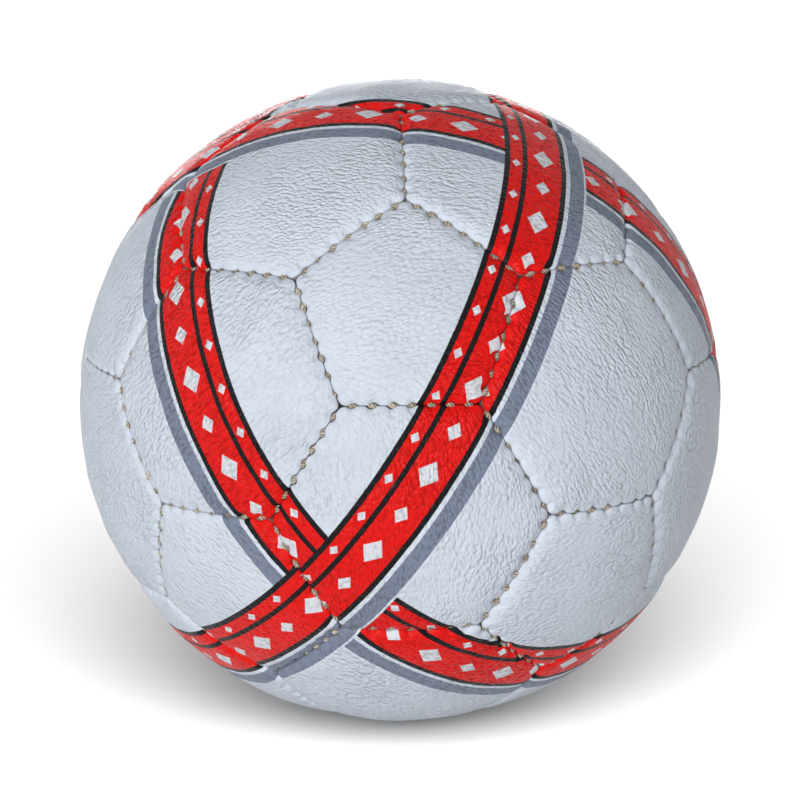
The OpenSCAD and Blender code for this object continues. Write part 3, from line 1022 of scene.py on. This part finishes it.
def thread_material():
    """Waxed linen thread: fibres along each strand, darker where it is dirty, and painted shade between the
    strands.
    """
    material, n, shader = new_material("thread_waxed")
    co = n.attribute("fibre_co", "Vector")
    tone = n.attribute("tone", "Fac")
    fibre_co = n.vector("MULTIPLY", co, (14.0, 14.0, 2.2))
    fibre = n.noise(fibre_co, 1.0, 3.0)
    blotch = n.noise(co, 0.8, 2.0)
    colour = n.mix(n.remap(fibre["Fac"], 0.3, 0.7, 0.0, 1.0), THREAD_DARK, THREAD)
    colour = n.mix(n.math("MULTIPLY_ADD", tone, 0.22, 0.2, clamp=True), colour, THREAD_PALE)
    colour = n.mix(n.remap(blotch["Fac"], 0.42, 0.75, 0.0, 0.6), colour, THREAD_DIRT)
    # Painted shade between the strands, near the middle of each twist
    colour = n.mix(n.attribute("painted_strand_shade", "Fac"), colour, THREAD_PAINTED_SHADE)
    n.put(shader.inputs["Base Color"], colour)
    n.put(shader.inputs["Roughness"], n.remap(fibre["Fac"], 0.3, 0.7, 0.7, 0.5))
    n.bump(shader, fibre["Fac"], 0.7, 0.06 * MM)
    return material


def lining_material():
    """Woven cotton laminate behind the covers."""
    material, n, shader = new_material("lining_weave")
    co = n.add("ShaderNodeTexCoord").outputs["Object"]
    split = n.add("ShaderNodeSeparateXYZ", {"Vector": co})
    x, y, z = split.outputs
    warp = n.math("SINE", n.math("MULTIPLY", n.math("ADD", x, y), WEAVE))
    weft = n.math("SINE", n.math("MULTIPLY", n.math("SUBTRACT", z, y), WEAVE))
    weave = n.math("MULTIPLY", warp, weft)
    noise = n.noise(co, 900.0, 3.0)
    thread = n.math("MULTIPLY_ADD", noise["Fac"], 0.6, weave)
    colour = n.mix(n.remap(thread, -0.8, 1.2, 0.0, 1.0), WARP_DARK, WARP_PALE)
    n.put(shader.inputs["Base Color"], colour)
    n.put(shader.inputs["Roughness"], n.remap(thread, -0.8, 1.2, 0.95, 0.78))
    shader.inputs["Sheen Weight"].default_value = 0.2
    n.bump(shader, thread, 0.5, 0.1 * MM)
    return material


def rubber_material(name, dark, pale, scale, relief):
    """Moulded rubber with a fine matt skin, talc in its hollows and a soft mottle."""
    material, n, shader = new_material(name)
    co = n.add("ShaderNodeTexCoord").outputs["Object"]
    skin = n.noise(co, scale, 5.0, 0.65)
    talc = n.noise(co, scale / 14, 4.0)
    colour = n.mix(n.remap(talc["Fac"], 0.4, 0.75, 0.0, 1.0), dark, pale)
    n.put(shader.inputs["Base Color"], colour)
    n.put(shader.inputs["Roughness"], n.remap(skin["Fac"], 0.3, 0.7, 0.48, 0.68))
    n.bump(shader, skin["Fac"], 0.4, relief * MM)
    return material


def set_material(node, material):
    """Gives a node of the frame, which shows as it is, its material."""
    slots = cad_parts[node].data.materials
    if len(slots):
        for i in range(len(slots)):
            slots[i] = material
    else:
        slots.append(material)


def is_seen(n):
    """1 for the rays that show a surface, straight, in a gloss or through glass, and 0 for the others."""
    path = n.add("ShaderNodeLightPath")
    seen = n.math("MAXIMUM", path.outputs["Is Camera Ray"], path.outputs["Is Glossy Ray"])
    return n.math("MAXIMUM", seen, path.outputs["Is Transmission Ray"])


def make_stage():
    """A plain white floor that keeps the ball's shadow."""
    z = cad_box[0].z
    corners = [(x * FLOOR_HALF, y * FLOOR_HALF, z) for x, y in ((-1, -1), (1, -1), (1, 1), (-1, 1))]
    mesh = bpy.data.meshes.new("floor")
    mesh.from_pydata(corners, [], [(0, 1, 2, 3)])
    floor = bpy.data.objects.new("floor", mesh)
    bpy.context.scene.collection.objects.link(floor)
    material, n, shader = new_material("floor_white")
    shader.inputs["Roughness"].default_value = 0.9
    shader.inputs["Specular IOR Level"].default_value = 0.1
    n.put(shader.inputs["Base Color"], n.mix(is_seen(n), FLOOR_LIT, FLOOR_SEEN))
    mesh.materials.append(material)
    return floor


def make_world():
    """Soft light from all around, on a white background."""
    world = bpy.data.worlds.new("studio")
    bpy.context.scene.world = world
    world.use_nodes = True
    n = Nodes(world.node_tree)
    background = world.node_tree.nodes["Background"]
    slope = n.vector("DOT_PRODUCT", n.add("ShaderNodeTexCoord").outputs["Generated"], SKY_SLOPE)
    light = n.math("MULTIPLY_ADD", slope, SKY, SKY)
    strength = n.math("MULTIPLY_ADD", n.math("SUBTRACT", 1.0, light), is_seen(n), light)
    n.put(background.inputs["Strength"], strength)
    background.inputs["Color"].default_value = (1, 1, 1, 1)


def from_side(azimuth, elevation):
    """The way out from the ball at these angles, in radians, from the front and from the floor."""
    flat = math.cos(elevation)
    return Vector((math.sin(azimuth) * flat, -math.cos(azimuth) * flat, math.sin(elevation)))


def add_sun(name, azimuth, elevation, power, spread, only=None):
    """A far, soft lamp. Where only is given, it lights those objects alone, though all objects shade it."""
    data = bpy.data.lights.new(name, "SUN")
    data.energy = power
    data.angle = math.radians(spread)
    lamp = bpy.data.objects.new(name, data)
    bpy.context.scene.collection.objects.link(lamp)
    way = from_side(math.radians(azimuth), math.radians(elevation))
    lamp.rotation_euler = way.to_track_quat("Z", "Y").to_euler()
    if only:
        lit = bpy.data.collections.new(name + "_lights")
        for thing in only:
            lit.objects.link(thing)
        lamp.light_linking.receiver_collection = lit


def make_camera():
    """A camera at the photograph's viewing angle."""
    data = bpy.data.cameras.new("photo_camera")
    data.sensor_width = 36.0
    data.lens = CAMERA_LENS
    data.clip_start = 0.05
    camera = bpy.data.objects.new("photo_camera", data)
    bpy.context.scene.collection.objects.link(camera)
    way = from_side(CAMERA_AZIMUTH, CAMERA_ELEVATION)
    turn = way.to_track_quat("Z", "Y").to_matrix() @ Matrix.Rotation(CAMERA_LEAN, 3, "Z")
    camera.matrix_world = Matrix.Translation(way * CAMERA_DISTANCE) @ turn.to_4x4()
    bpy.context.scene.camera = camera


make_camera()
leather = leather_material()
for name, n in PENTAGONS.items():
    make_panel(name, n, 5, leather)
for name, n in HEXAGONS.items():
    make_panel(name, n, 6, leather)
make_threads(thread_material())

lining = lining_material()
for node in ("pentagon_linings", "hexagon_linings", "valve_hexagon_lining"):
    set_material(node, lining)
set_material("bladder", rubber_material("bladder_rubber", srgb(52, 50, 50), srgb(120, 116, 110), 900, 0.08))
set_material("valve_body", rubber_material("valve_rubber", srgb(34, 34, 38), srgb(70, 70, 74), 1400, 0.04))
set_material("valve_core", rubber_material("core_rubber", srgb(24, 24, 26), srgb(60, 58, 56), 1800, 0.03))

# All the meshes up to here are the ball's
pieces = [thing for thing in bpy.context.scene.objects if thing.type == "MESH"]
floor = make_stage()
make_world()
add_sun("key", *KEY_SUN)
add_sun("floor_light", *FLOOR_SUN, [floor])
add_sun("back_fill", *BACK_SUN, pieces)

bpy.context.scene.view_settings.view_transform = "Standard"
